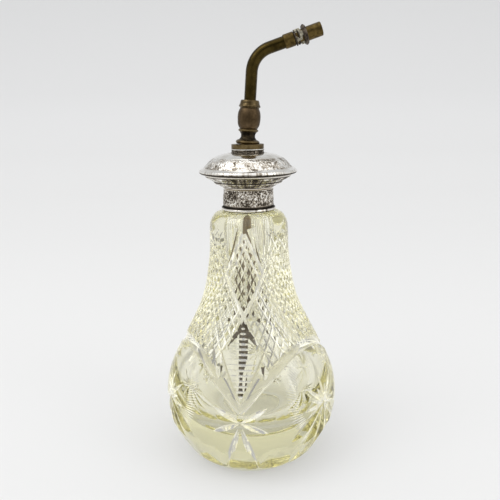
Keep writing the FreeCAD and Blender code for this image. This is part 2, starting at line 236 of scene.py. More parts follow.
# rays of the stars: angle from straight up in degrees, length
SMALL_RAYS = ((62, 12.8), (-62, 12.8), (113, 12.6), (-113, 12.6))
LARGE_HOLLOWS = ((124, 22), (-124, 22), (152, 25), (-152, 25), (180, 25))
LARGE_RAYS = ((0, 12), (25, 8), (-25, 8), (47, 13), (-47, 13), (70, 8), (-70, 8), (92, 12),
              (-92, 12), (110, 12), (-110, 12), (138, 20), (-138, 20), (166, 22), (-166, 22))
# where a petal's fringe starts, and its little stars: psi, z, length of their rays
FRINGE_EDGE = [(44.5, 54.0), (37.0, 51.0), (32.0, 47.0), (29.5, 42.0), (29.0, 36.0),
               (30.5, 30.0), (35.0, 24.5)]
LITTLE_STARS = ((25.0, 46.4, 2.6), (32.5, 50.6, 2.4))
# depth of each cut, half its opening in degrees, height of the cutter above the glass
CUTS = {"rung": (0.42, 50.0, 0.1), "spine": (0.22, 73.0, 0.1), "foot notch": (0.9, 52.0, 0.3),
        "small star": (1.05, 50.0, 0.3), "long line": (0.6, 60.0, 0.4),
        "short line": (0.3, 60.0, 0.3), "hollow": (0.95, 74.0, 0.3),
        "large star": (0.75, 50.0, 0.3), "fringe": (0.24, 46.0, 0.1),
        "little star": (0.45, 45.0, 0.1), "spray": (0.42, 50.0, 0.2)}


def arch_height(psi):
    return float(np.interp(psi % 120.0, [p for p, _ in ARCH], [z for _, z in ARCH]))


def off_axis(psi):
    """Degrees from the nearest small star's meridian."""
    return abs((psi + 60.0) % 120.0 - 60.0)


def in_field(psi, z):
    """True where the fine crossed cutting covers the glass."""
    if z > FIELD_TOP or z < arch_height(psi) + 1.0:
        return False
    side = off_axis(psi)
    rhomb = np.interp(z, [RHOMB_FOOT, RHOMB_SIDE, RHOMB_TOP], [0.0, RHOMB_HALF, 0.0])
    kite = np.interp(z, [KITE_FOOT, KITE_SIDE, KITE_TOP], [0.0, KITE_HALF, 0.0])
    return side > max(rhomb, kite)


def crossed_field(groups):
    """Two families of slanting mitres, leaving rows of flat-topped diamonds."""
    count, slant, flank, depth_share = 48, 27.0, 52.0, 0.021
    stride, lowest, fewest = 1.1, 30.0, 3
    drift = stride * math.tan(math.radians(slant))
    for sign in (1, -1):
        for odd in (0, 1):
            cut = Cutter(SOFT)
            for k in range(odd, count, 2):
                psi, z = 360.0 * k / count, FIELD_TOP + 1.0
                run = []
                while z > lowest:
                    if in_field(psi, z):
                        run.append((psi, z))
                    else:
                        if len(run) >= fewest:
                            depths = [depth_share * glass_r(h) for _, h in run]
                            cut.mitre(run, depths, flank, 0.12, (False, False))
                        run = []
                    slope = glass_slope(z)
                    psi += sign * math.degrees(drift / glass_r(z))
                    z -= stride / math.hypot(1, slope)
            groups.append(cut)


def between(a, b, t):
    return (a[0] + (b[0] - a[0]) * t, a[1] + (b[1] - a[1]) * t)


def rhombs(groups):
    """Tall lozenge: bold satin mitres round the edge, low polished pyramids inside."""
    bold, flank, over, whole = 0.75, 50.0, 0.15, (False, False)
    run_on = 1.22                  # the lower edges cross at the foot and run on as an X
    for slant in (1, -1):
        edge, fork = Cutter(), Cutter()
        inside = [Cutter(POLISHED), Cutter(POLISHED)]
        for c in THIRDS:
            top, foot = (c, RHOMB_TOP), (c, RHOMB_FOOT)
            near, far = (c + slant * RHOMB_HALF, RHOMB_SIDE), (c - slant * RHOMB_HALF, RHOMB_SIDE)
            edge.mitre(line_on_glass(top, near, 10), bold, flank, over, whole)
            path = line_on_glass(far, between(far, foot, run_on), 10)
            edge.mitre(path, [bold] * 9 + [0.55, 0.2], flank, over, whole)
            path = line_on_glass((c + slant * 0.5, 69.4), (c + slant * 2.3, 65.9), 6)
            fork.mitre(path, 0.5, flank, over, (False, True))
            for i, t in enumerate((0.31, 0.48, 0.65, 0.82)):
                path = line_on_glass(between(top, far, t), between(near, foot, t), 10)
                inside[i % 2].mitre(path, 0.27, 74.0, 0.12, whole)
            path = line_on_glass(between(top, far, 0.17), between(near, foot, 0.17), 10)
            edge.mitre(path, 0.55, 48.0, over, whole)
        groups += inside + [edge, fork]


def facet(wide, tilt):
    """Depth and half opening of the shallow V whose two faces tilt by so many degrees."""
    return wide / 2 * math.tan(math.radians(tilt)), 90.0 - tilt


def ladders(groups):
    """Kite below each lozenge: a ladder of cross cuts between tilted side facets."""
    sides = Cutter(POLISHED)
    rungs = Cutter()
    spine = [Cutter(), Cutter()]
    bits = Cutter(POLISHED)
    notch = Cutter(POLISHED)
    side_depths, side_angles = zip(*[facet(wide, tilt) for _, _, wide, tilt in KITE_SIDES])
    for c in THIRDS:
        for k, half in enumerate(RUNG_HALVES):
            z = RUNG_TOP - RUNG_PITCH * k
            rungs.mitre(line_on_glass((c - half, z), (c + half, z), 8), *CUTS["rung"])
        for s in (-1, 1):
            path = [(c + s * psi, z) for psi, z, _, _ in KITE_SIDES]
            sides.mitre(path, list(side_depths), list(side_angles), 0.15, (False, False))
            path = [(c + s * psi, z) for psi, z in smooth_curve(KITE_SPINE, 3)]
            spine[s > 0].mitre(path, *CUTS["spine"])
            notch.mitre(line_on_glass((c + s * 17.8, 51.8), (c + s * 16.4, 45.4), 6),
                        [0.05, 1.1, 1.6, 1.8, 1.6, 1.1, 0.05], 60.0, 0.3, (False, False))
            for psi, z, wide in FIELD_BITS:
                turn = c + s * (psi + BIT_SHIFT)
                depth, angle = facet(wide, min(4.0 * math.radians(psi) * glass_r(z), 36.0))
                path = line_on_glass((turn, z + BIT_HALF), (turn, z - BIT_HALF), 4)
                bits.mitre(path, depth, angle, 0.1)
        notch.mitre(line_on_glass((c, 41.0), (c, 36.0), 6), *CUTS["foot notch"])
    groups += [rungs] + spine + [sides, notch, bits]


def arches(groups):
    """Broad hollow flutes that frame the petals."""
    for c in THIRDS:
        cut = Cutter(SOFT)
        path = smooth_curve(ARCH, 3)
        share = np.linspace(0, 1, len(path))
        wide = np.interp(share, np.linspace(0, 1, len(ARCH_WIDE)), ARCH_WIDE)
        path = [(psi + c, z) for psi, z in path]
        cut.flute(path, list(wide), [w * 0.17 for w in wide], 0.4, 9)
        groups.append(cut)


def stars(groups):
    """Small stars below the kites and large stars in the middle of the petals."""
    small = Cutter()
    lines = [Cutter(), Cutter()]
    broad = [Cutter(POLISHED), Cutter(POLISHED)]
    big = [Cutter(), Cutter()]
    for c in THIRDS:
        for angle, length in SMALL_RAYS:
            small.mitre(ray(c, STAR_A_Z, angle, length, 8), *CUTS["small star"])
        for s in (-1, 1):
            path = line_on_glass((c + s * 1.2, 28.5), (c + s * 12.0, 5.0), 10)
            lines[0].mitre(path, *CUTS["long line"])
            path = line_on_glass((c + s * 0.5, 27.5), (c + s * 4.8, 15.5), 8)
            lines[1].mitre(path, *CUTS["short line"])
        for i, (angle, length) in enumerate(LARGE_HOLLOWS):
            broad[i % 2].mitre(ray(c + PETAL, STAR_B_Z, angle, length, 10), *CUTS["hollow"])
        for i, (angle, length) in enumerate(LARGE_RAYS):
            big[i % 2].mitre(ray(c + PETAL, STAR_B_Z, angle, length, 9), *CUTS["large star"])
    groups += [small] + lines + broad + big


def petals(groups):
    """Fringes of fine lines and little stars inside each petal."""
    fringe = Cutter()
    second = Cutter()
    little = Cutter(POLISHED)
    line_length, points, first_point = 7.0, 7, 20
    for c in THIRDS:
        for s in (-1, 1):
            for i, (psi, z) in enumerate(smooth_curve(FRINGE_EDGE, 5)):
                start = (c + PETAL + s * (PETAL - psi), z)
                reach = math.hypot(math.radians(PETAL - psi) * glass_r(z), z - STAR_B_Z)
                end = between(start, (c + PETAL, STAR_B_Z), line_length / reach)
                cut = fringe if i % 2 else second
                cut.mitre(line_on_glass(start, end, 6), *CUTS["fringe"])
            for psi, z, size in LITTLE_STARS:
                for k in range(points):
                    angle = 360 * k / points + first_point
                    path = ray(c + PETAL + s * (PETAL - psi), z, angle, size, 4)
                    little.mitre(path, *CUTS["little star"])
    groups += [fringe, second, little]


def fans(groups):
    """Sprays of long mitres between the lozenges, running up to the shoulder."""
    rise, middle_foot, middle_rise = 19.5, 91.0, 13.0
    sprays = [Cutter(SOFT), Cutter(SOFT)]
    windows = Cutter(POLISHED)
    for c in THIRDS:
        for s in (-1, 1):
            path = ray(c + s * (RHOMB_HALF - 1.5), RHOMB_SIDE + 3.0, s * -15, 16.5, 8)
            depths = [0.15 + 0.15 * k for k in range(9)]
            windows.mitre(path, depths, 56.0, 0.2, (False, False))
            for i, angle in enumerate((3, 17, 31, 45)):
                length = rise / math.cos(math.radians(angle)) * (1.0 if angle < 30 else 0.85)
                path = ray(c + s * (RHOMB_HALF + 0.5), RHOMB_SIDE + 1.5, s * angle, length, 8)
                sprays[i % 2].mitre(path, *CUTS["spray"])
    groups += sprays + [windows]
    middle = Cutter(SOFT)
    for c in THIRDS:
        for angle in (-34, -17, 0, 17, 34):
            length = middle_rise / math.cos(math.radians(angle))
            middle.mitre(ray(c + PETAL, middle_foot, angle, length, 8), *CUTS["spray"])
    groups.append(middle)


def foot_flats():
    """Many-sided cone that trims the glass above the foot to flat panels."""
    count, height, depth = 15, 9.0, 0.8
    low, high, top, widest = -2.0, 60.0, 130.0, 60.0
    slope = (glass_r(height + 2) - glass_r(height - 2)) / 4
    apothems = [glass_r(height) - depth + slope * (z - height) for z in (low, high)]
    verts, faces = [], []
    for apothem, z in zip(apothems + [max(apothems[1], widest)], (low, high, top)):
        for k in range(count):
            a = math.radians(TURN_A + 360.0 * (k + 0.5) / count)
            r = apothem / math.cos(math.pi / count)
            verts.append((r * math.sin(a), -r * math.cos(a), z))
    for level in (0, 1):
        for k in range(count):
            n = (k + 1) % count
            i = level * count
            faces.append((i + k, i + n, i + n + count, i + k + count))
    faces.append(tuple(reversed(range(count))))
    faces.append(tuple(2 * count + k for k in range(count)))
    return verts, faces


def revolve_closed(profile, segments):
    """Solid of revolution whose profile starts and ends on the axis."""
    ring = profile[1:-1]
    count = len(ring)
    verts = [(0.0, 0.0, profile[0][1]), (0.0, 0.0, profile[-1][1])]
    faces = []
    for k in range(segments):
        a = TAU * k / segments
        for r, z in ring:
            verts.append((r * math.cos(a), r * math.sin(a), z))
    for k in range(segments):
        n = (k + 1) % segments
        a, b = 2 + k * count, 2 + n * count
        faces.append((0, b, a))
        for i in range(count - 1):
            faces.append((a + i, b + i, b + i + 1, a + i + 1))
        faces.append((1, a + count - 1, b + count - 1))
    return verts, faces


def boolean(target, tool, operation):
    """Apply a boolean at once and drop the tool's mesh."""
    mod = target.modifiers.new("cut", "BOOLEAN")
    mod.operation = operation
    mod.solver = "MANIFOLD"
    mod.material_mode = "INDEX"
    mod.object = tool
    dg = bpy.context.evaluated_depsgraph_get()
    mesh = bpy.data.meshes.new_from_object(target.evaluated_get(dg))
    target.modifiers.clear()
    old = target.data
    target.data = mesh
    bpy.data.meshes.remove(old)
    bpy.data.meshes.remove(tool.data)


def build_glass(finishes):
    profile = [(0.0, FOOT_RISE), (FOOT_IN_R, FOOT_RISE), (FOOT_IN_R + 0.8, 0.0)] + outer_curve
    profile += [(9.6, 109.55), (9.3, 109.6), (NECK_R, 109.9), (NECK_R, NECK_TOP - 0.4),
                (NECK_R - 0.4, NECK_TOP), (BORE_R + 0.3, NECK_TOP), (BORE_R, NECK_TOP - 0.4)]
    profile += list(reversed(smooth_curve(CAVITY, 4)))
    segments, sharp = 180, 14
    verts, faces = revolve_closed(profile, segments)
    glass = add_mesh("cut_glass_bottle", verts, faces, None)
    for finish in finishes:
        glass.data.materials.append(finish)
    verts, faces = foot_flats()
    boolean(glass, add_mesh("flats", verts, faces, None), "INTERSECT")
    groups = []
    arches(groups)
    crossed_field(groups)
    rhombs(groups)
    ladders(groups)
    stars(groups)
    petals(groups)
    fans(groups)
    for i, cut in enumerate(groups):
        boolean(glass, cut.obj("cutter_%d" % i, finishes), "DIFFERENCE")
    glass.data.shade_smooth()
    glass.data.set_sharp_from_angle(angle=math.radians(sharp))
    return glass


# ---------------------------------------------------------------- chased metal
def cloud(turns, along, cells, step, seed):
    """Smooth random field: cells round the piece, and one cell to each step of mm along it."""
    rows = 80
    grid = np.random.default_rng(seed).random((cells, rows))
    x, y = (turns % 1.0) * cells, np.clip(np.abs(along) / step, 0.0, rows - 2.0)
    i, j = np.floor(x).astype(int), np.floor(y).astype(int)
    fx, fy = x - i, y - j
    fx, fy = fx * fx * (3 - 2 * fx), fy * fy * (3 - 2 * fy)
    a, b = i % cells, (i + 1) % cells
    low = grid[a, j] * (1 - fx) + grid[b, j] * fx
    high = grid[a, j + 1] * (1 - fx) + grid[b, j + 1] * fx
    return low * (1 - fy) + high * fy


def leaf_scrolls(width, height):
    """(x, y, half width) points of two leaf scrolls with a shell between them."""
    points = []
    for side in (-1, 1):
        middle = (side * 0.27 * width, (0.5 + 0.1 * side) * height)
        reach = 0.8 * min(width / 4, height / 2)
        steps, curl = 43, 1.55
        for k in range(steps + 1):
            t = k / steps
            a = side * t * TAU * curl + (0.5 + 0.9 * side)
            r = reach * (1 - 0.86 * t)
            points.append((middle[0] + r * math.cos(a), middle[1] + r * math.sin(a),
                           0.36 - 0.18 * t))
        for k in range(6):             # short leaves round the scroll
            a = side * (0.4 + 0.5 * k)
            for t in (1.0, 1.12, 1.24, 1.36):
                points.append((middle[0] + reach * t * math.cos(a),
                               middle[1] + reach * t * math.sin(a), 0.34 - 0.16 * (t - 1.0)))
    for k in range(7):                 # ribs of the shell
        a = (k - 3) * 0.4
        for t in np.linspace(0.12, 0.5, 8):
            points.append((height * t * math.sin(a), height * (0.16 + t * math.cos(a)),
                           0.1 + 0.2 * t))
    return points


def raised(turns, along, count, radius, height):
    """Height from 0 to 1 of a band of leaf scrolls repeated round a piece."""
    width = TAU * radius / count
    x = ((turns * count) % 1.0 - 0.5) * width
    top = np.zeros_like(x)
    for px, py, half in leaf_scrolls(width, height):
        for shift in (-width, 0.0, width):
            near = 1.0 - ((x - px - shift) ** 2 + (along - py) ** 2) / half ** 2
            top = np.maximum(top, near)
    return np.clip(top, 0.0, 1.0)


def resample(points, step):
    """The same line with its points about a step apart."""
    out = []
    for (r0, z0), (r1, z1) in zip(points[:-1], points[1:]):
        n = max(1, round(math.hypot(r1 - r0, z1 - z0) / step))
        out += [(r0 + (r1 - r0) * k / n, z0 + (z1 - z0) * k / n) for k in range(n)]
    return out + [points[-1]]


def chased_ring(name, front, back, relief, look, segments=540, step=0.2):
    """Turned piece whose front, given from the top down, is worked in relief; back closes it.

    relief gives the lift in mm and the wear_and_painted_shade value, from 0 for black to 1 for
    bright, of every point.
    """
    face = np.array(resample(front, step))
    along = np.gradient(face, axis=0)
    along /= np.linalg.norm(along, axis=1)[:, None]
    turns = np.arange(segments)[:, None] / segments + 0 * face[None, :, 0]
    radius, height = np.broadcast_arrays(face[None, :, 0], face[None, :, 1] + 0 * turns)
    lift, wear_and_painted_shade = relief(turns, radius, height)
    ends = np.ones(len(face))
    ends[0] = ends[-1] = 0.0
    lift = lift * ends
    closing = np.tile(np.array(back), (segments, 1, 1))
    r = np.concatenate([radius - lift * along[:, 1], closing[:, :, 0]], axis=1)
    z = np.concatenate([height + lift * along[:, 0], closing[:, :, 1]], axis=1)
    wear_and_painted_shade = np.concatenate([wear_and_painted_shade + 0 * radius, np.full((segments, len(back)), 0.3)], axis=1)
    angle = TAU * np.arange(segments)[:, None] / segments
    verts = np.stack([r * np.sin(angle), -r * np.cos(angle), z], axis=2).reshape(-1, 3)
    count = r.shape[1]
    faces = []
    for k in range(segments):
        n = (k + 1) % segments
        for i in range(count):
            j = (i + 1) % count
            faces.append((k * count + i, k * count + j, n * count + j, n * count + i))
    piece = add_mesh(name, verts.tolist(), faces, look, 50)
    layer = piece.data.attributes.new("wear_and_painted_shade", "FLOAT", "POINT")
    layer.data.foreach_set("value", np.clip(wear_and_painted_shade, 0.0, 1.0).ravel())
    return piece


# ---------------------------------------------------------------- materials
def material(name):
    mat = bpy.data.materials.new(name)
    mat.use_nodes = True
    tree = mat.node_tree
    tree.nodes.clear()
    out = tree.nodes.new("ShaderNodeOutputMaterial")
    bsdf = tree.nodes.new("ShaderNodeBsdfPrincipled")
    tree.links.new(bsdf.outputs["BSDF"], out.inputs["Surface"])
    return mat, tree, bsdf, out


def ramp(tree, source, stops, output="Fac"):
    """Colour ramp fed from a node; stops are (position, colour or grey)."""
    n = tree.nodes.new("ShaderNodeValToRGB")
    elements = n.color_ramp.elements
    while len(elements) > 1:
        elements.remove(elements[-1])
    for i, (place, value) in enumerate(stops):
        e = elements[0] if i == 0 else elements.new(place)
        e.position = place
        e.color = (value, value, value, 1) if isinstance(value, (int, float)) else (*value, 1)
    tree.links.new(source.outputs[output], n.inputs["Fac"])
    return n


def noise(tree, scale, detail, rough):
    coords = tree.nodes.new("ShaderNodeTexCoord")
    n = tree.nodes.new("ShaderNodeTexNoise")
    n.inputs["Scale"].default_value = scale
    n.inputs["Detail"].default_value = detail
    n.inputs["Roughness"].default_value = rough
    tree.links.new(coords.outputs["Object"], n.inputs["Vector"])
    return n


def bump(tree, bsdf, source, strength, distance):
    n = tree.nodes.new("ShaderNodeBump")
    n.inputs["Strength"].default_value = strength
    n.inputs["Distance"].default_value = distance
    tree.links.new(source.outputs["Fac"], n.inputs["Height"])
    tree.links.new(n.outputs["Normal"], bsdf.inputs["Normal"])


def glass_material(name, rough, clear, painted_glow):
    """Lead crystal; painted_glow is painted light, an emission that lifts the ground cuts a little,
    standing in for the light they gather from all round.
    """
    mat, tree, bsdf, out = material(name)
    bsdf.inputs["Emission Color"].default_value = (0.99, 0.99, 0.97, 1)
    bsdf.inputs["Emission Strength"].default_value = painted_glow
    bsdf.inputs["Base Color"].default_value = (1.0, 0.995, 0.96, 1)
    bsdf.inputs["Roughness"].default_value = rough
    bsdf.inputs["IOR"].default_value = 1.53
    bsdf.inputs["Transmission Weight"].default_value = clear
    absorb = tree.nodes.new("ShaderNodeVolumeAbsorption")
    absorb.inputs["Color"].default_value = (0.90, 0.885, 0.70, 1)
    absorb.inputs["Density"].default_value = 34.0
    tree.links.new(absorb.outputs["Volume"], out.inputs["Volume"])
    return mat


def metal(name, light, dark, rough, scale, low=0.42, high=0.62, rough_range=0.16, bumps=0.15):
    """Patinated metal: two tones mixed by noise, roughness following the tarnish, fine pits."""
    mat, tree, bsdf, _ = material(name)
    bsdf.inputs["Metallic"].default_value = 1.0
    patches = noise(tree, scale, 6.0, 0.65)
    tone = ramp(tree, patches, [(low, dark), (high, light)])
    tree.links.new(tone.outputs["Color"], bsdf.inputs["Base Color"])
    haze = ramp(tree, patches, [(low, min(1.0, rough + rough_range)), (high, rough)])
    tree.links.new(haze.outputs["Color"], bsdf.inputs["Roughness"])
    bump(tree, bsdf, noise(tree, 900.0, 3.0, 0.6), bumps, 0.00006)
    return mat


def worked_silver(name, rough, fleck, scatter):
    """Silver whose tarnish and painted shade follow the piece's own wear_and_painted_shade value,
    broken up by a fine fleck.
    """
    mat, tree, bsdf, _ = material(name)
    bsdf.inputs["Metallic"].default_value = 1.0
    wear_and_painted_shade = tree.nodes.new("ShaderNodeAttribute")
    wear_and_painted_shade.attribute_name = "wear_and_painted_shade"
    grain = noise(tree, fleck, 4.0, 0.7)
    spread = tree.nodes.new("ShaderNodeMath")
    spread.operation = "MULTIPLY_ADD"
    spread.inputs[1].default_value = scatter
    spread.inputs[2].default_value = -0.5 * scatter
    tree.links.new(grain.outputs["Fac"], spread.inputs[0])
    total = tree.nodes.new("ShaderNodeMath")
    total.use_clamp = True
    tree.links.new(wear_and_painted_shade.outputs["Fac"], total.inputs[0])
    tree.links.new(spread.outputs["Value"], total.inputs[1])
    tone = ramp(tree, total, SILVER_STOPS, "Value")
    tree.links.new(tone.outputs["Color"], bsdf.inputs["Base Color"])
    haze = ramp(tree, total, [(0.0, 0.6), (0.5, rough + 0.1), (1.0, rough)], "Value")
    tree.links.new(haze.outputs["Color"], bsdf.inputs["Roughness"])
    bump(tree, bsdf, noise(tree, fleck * 1.7, 3.0, 0.6), 0.25, 0.00008)
    return mat


def darken_downwards(mat, low, high, least):
    """Darken a material by height: least at low and below, full at high."""
    tree = mat.node_tree
    bsdf = next(n for n in tree.nodes if n.type == "BSDF_PRINCIPLED")
    place = tree.nodes.new("ShaderNodeTexCoord")
    split = tree.nodes.new("ShaderNodeSeparateXYZ")
    tree.links.new(place.outputs["Object"], split.inputs["Vector"])
    shade = ramp(tree, split, [(low, least), (high, 1.0)], "Z")
    product = tree.nodes.new("ShaderNodeVectorMath")
    product.operation = "MULTIPLY"
    tree.links.new(bsdf.inputs["Base Color"].links[0].from_socket, product.inputs[0])
    tree.links.new(shade.outputs["Color"], product.inputs[1])
    tree.links.new(product.outputs["Vector"], bsdf.inputs["Base Color"])


def plain(name, light, dark, rough, scale, bumps=0.3, depth=0.0002):
    """Matt stuff in two mixed tones."""
    mat, tree, bsdf, _ = material(name)
    patches = noise(tree, scale, 5.0, 0.6)
    tone = ramp(tree, patches, [(0.35, dark), (0.65, light)])
    tree.links.new(tone.outputs["Color"], bsdf.inputs["Base Color"])
    bsdf.inputs["Roughness"].default_value = rough
    bump(tree, bsdf, patches, bumps, depth)
    return mat


# the satin and soft crystals give off a little painted light from the cut faces
GLASS = glass_material("straw_crystal", 0.0, 1.0, 0.0)
GLASS_SATIN_PAINTED_GLOW = glass_material("straw_crystal_satin_painted_glow", 0.04, 0.80, 0.25)
GLASS_SOFT_PAINTED_GLOW = glass_material("straw_crystal_soft_painted_glow", 0.02, 0.91, 0.19)
SILVER_STOPS = [(0.0, (0.03, 0.026, 0.02)), (0.3, (0.15, 0.125, 0.095)),
                (0.55, (0.50, 0.45, 0.38)), (0.8, (0.80, 0.77, 0.71)), (1.0, (0.93, 0.92, 0.88))]
SILVER = worked_silver("worn_silver_with_painted_shade", 0.13, 520.0, 0.30)
CHASED = worked_silver("chased_silver", 0.2, 1500.0, 0.55)
BRASS = metal("antique_brass", (0.21, 0.155, 0.075), (0.08, 0.055, 0.022), 0.28, 260.0,
              0.36, 0.62, 0.2, 0.2)
# a darker copy of the antique brass: painted shade for the gland nut and the stem's base bead
BRASS_PAINTED_SHADE = metal("brass_with_painted_shade", (0.15, 0.11, 0.055), (0.055, 0.038, 0.016), 0.28, 330.0,
                  0.36, 0.62, 0.2, 0.2)
# dark brass made darker still: partly its own dark lacquer, partly painted shade for the dark
# surroundings that the tube reflects
BRASS_TUBE = metal("lacquered_brass_plus_painted_shade", (0.060, 0.042, 0.011), (0.026, 0.018, 0.005), 0.22, 240.0,
                   0.38, 0.64, 0.12, 0.12)
BRASS_END = metal("olive_brass", (0.125, 0.086, 0.028), (0.045, 0.03, 0.01), 0.32, 420.0,
                  0.36, 0.6, 0.2, 0.3)
BRASS_DARK = metal("blackened_brass", (0.05, 0.038, 0.022), (0.014, 0.011, 0.008), 0.4, 500.0,
                   0.4, 0.62, 0.25, 0.5)
BRASS_BROWN = metal("brown_brass", (0.115, 0.078, 0.042), (0.055, 0.036, 0.018), 0.32, 260.0,
                    0.36, 0.64, 0.2, 0.25)
BRASS_STOP = metal("stained_brass", (0.16, 0.13, 0.10), (0.04, 0.032, 0.026), 0.45, 700.0,
                   0.4, 0.6, 0.25, 0.5)
BRASS_INNER = metal("turned_brass", (0.66, 0.50, 0.24), (0.45, 0.32, 0.14), 0.25, 200.0)
TUBE_TAUPE = metal("mottled_tube_darker_below", (0.40, 0.32, 0.23), (0.24, 0.18, 0.125), 0.4, 320.0,
                   0.3, 0.6, 0.2, 0.3)
# the dip tube is made darker towards the bottom
darken_downwards(TUBE_TAUPE, 0.062, 0.095, 0.36)
PLASTER = plain("plaster", (0.80, 0.76, 0.66), (0.66, 0.61, 0.52), 0.9, 500.0)
PITCH = plain("pitch", (0.10, 0.08, 0.06), (0.05, 0.04, 0.03), 0.5, 300.0)
CORK = plain("cork", (0.62, 0.44, 0.27), (0.36, 0.22, 0.12), 0.85, 900.0)
FIBRE = plain("fibre", (0.42, 0.24, 0.16), (0.25, 0.13, 0.08), 0.8, 800.0)
WIRE = metal("rusted_wire", (0.10, 0.08, 0.06), (0.03, 0.025, 0.02), 0.45, 900.0)
RUBBER = plain("perished_rubber", (0.50, 0.47, 0.36), (0.055, 0.045, 0.03), 0.9, 1100.0,
               0.8, 0.0004)

NODE_LOOK = {
    "neck_cement": PLASTER, "threaded_neck_ferrule": BRASS_INNER, "cork_seal": CORK,
    "spindle": BRASS_INNER, "seal_plate": BRASS_INNER, "lock_nut": BRASS_INNER,
    "fibre_washer": FIBRE, "flange_disc": BRASS, "stem_base_bead": BRASS_PAINTED_SHADE,
    "stem_waist": BRASS_DARK, "stem_lower_ring": BRASS, "baluster_barrel": BRASS_BROWN,
    "spray_jet": BRASS, "gland_nut": BRASS_PAINTED_SHADE, "gland_packing": FIBRE,
    "riser_tube": BRASS_INNER, "dip_tube": TUBE_TAUPE, "cap_screw_liner": BRASS_INNER,
    "cap_filling": PITCH, "swan_neck_tube": BRASS_TUBE, "pivot_collar": BRASS_INNER,
    "connector_socket": BRASS_END, "hose_stop_ring": BRASS_STOP, "hose_spigot": BRASS_END,
    "binding_wire": WIRE}
for name, look in NODE_LOOK.items():
    nodes[name].data.materials.clear()
    nodes[name].data.materials.append(look)

# ---------------------------------------------------------------- pieces
bottle = build_glass((GLASS, GLASS_SATIN_PAINTED_GLOW, GLASS_SOFT_PAINTED_GLOW))
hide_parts("glass_bottle")
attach(bottle, "bottle")

SHELL, LINER_R, HUB_HOLE = 0.7, 10.35, 3.05
CAP_TOP, CAP_BOT, RIM_Z, RIM_R = 133.9, 119.7, 126.4, 20.6


def band(value, low, high, soft):
    """1 between low and high, falling to 0 over a soft margin."""
    return np.clip((value - low) / soft, 0, 1) * np.clip((high - value) / soft, 0, 1)


def dome_relief(turns, r, z):
    border = band(r, 14.0, 18.9, 0.4)
    leaves = raised(turns, r - 14.4, 21, 16.6, 4.2)
    grain = cloud(turns, r, 300, 0.34, 3)
    stain = cloud(turns, r, 40, 2.4, 4)
    lift = border * (0.12 * leaves + 0.10 * (grain - 0.5) - 0.06)
    worked = 0.62 + 0.22 * leaves + 0.85 * (grain - 0.5) + 0.7 * (stain - 0.5)
    # the darker ring round the stub, from r 6.5 to 9, is painted shade: the stub's dark reflection
    smooth = 0.93 + 0.25 * (stain - 0.6) - 0.30 * band(r, 6.5, 9.0, 1.0)
    return lift, worked * border + smooth * (1 - border)


def rim_relief(turns, r, z):
    nicks = cloud(turns, z, 150, 0.6, 5)
    pits = cloud(turns, 2.5 * z + r, 330, 0.45, 13)
    # the lower half of the rim wire is darkened: painted shade beneath the rim
    painted_shade_below = np.clip((RIM_Z - z) / 0.3, 0, 1)
    lift = -0.12 * np.clip(nicks - 0.72, 0, 1)
    wear_and_painted_shade = 0.98 - 0.93 * painted_shade_below - 1.6 * np.clip(nicks - 0.66, 0, 1)
    return lift, wear_and_painted_shade - 0.9 * np.clip(pits - 0.62, 0, 1)


def underside_relief(turns, r, z):
    leaves = raised(turns, r - 14.3, 13, 16.0, 3.6)
    grain = cloud(turns, r + z, 300, 0.35, 6)
    stain = cloud(turns, r, 26, 2.0, 7)
    # the first band, just below the rim wire, is painted shade; the other bands darken the engraved
    # lines
    lines = (band(z, 125.2, 126.0, 0.2) + band(z, 124.3, 124.7, 0.12) + band(z, 121.9, 122.5, 0.15)
             + band(z, 119.9, 120.4, 0.12))
    chase = band(z, 122.4, 124.4, 0.2) + 0.6 * band(z, 120.3, 122.1, 0.2)
    lift = chase * (0.14 * leaves + 0.14 * (grain - 0.5) - 0.08) - 0.12 * lines
    worked = 0.32 + 0.5 * leaves + 1.1 * (grain - 0.5) + 0.8 * (stain - 0.5)
    return lift, worked * chase + 0.72 * (1 - chase) - 0.95 * lines


def collar_relief(turns, r, z):
    leaves = raised(turns, z - 112.5, 7, 10.6, 6.4)
    grain = cloud(turns, z - 110.0, 170, 0.42, 8)
    fine = cloud(turns, z - 110.0, 300, 0.25, 9)
    stain = cloud(turns, z - 110.0, 9, 3.2, 10)
    body = band(z, 112.5, 119.0, 0.15)
    lift = body * (0.22 * leaves + 0.22 * (grain - 0.5) - 0.16)
    worked = (0.34 + 0.42 * leaves + 0.85 * (grain - 0.5) + 0.8 * (fine - 0.5)
              + 0.45 * (stain - 0.5))
    # the dark band at the collar's foot is painted shade in the crevice above the bead
    return lift, worked * body + 0.8 * (1 - body) - 0.9 * band(z, 111.9, 112.45, 0.1)


def bead_relief(turns, r, z):
    nicks = cloud(turns, z, 90, 0.8, 11)
    # the bead's upper and lower edges are darkened: painted shade, which leaves a bright band round
    # the middle
    groove = np.clip((z - 111.25) / 0.15, 0, 1) + np.clip((110.45 - z) / 0.2, 0, 1)
    return -0.05 * nicks, 0.85 - 0.85 * groove - 1.5 * np.clip(nicks - 0.62, 0, 1)


def stub_relief(turns, r, z):
    grain = cloud(turns, z - 130.0, 90, 0.4, 12)
    lip = band(z, 135.2, 135.7, 0.1)
    wear_and_painted_shade = (0.05 + 0.55 * (grain - 0.3)) * (1 - lip) + 0.95 * lip
    return 0.12 * (grain - 0.8) * (1 - lip), wear_and_painted_shade


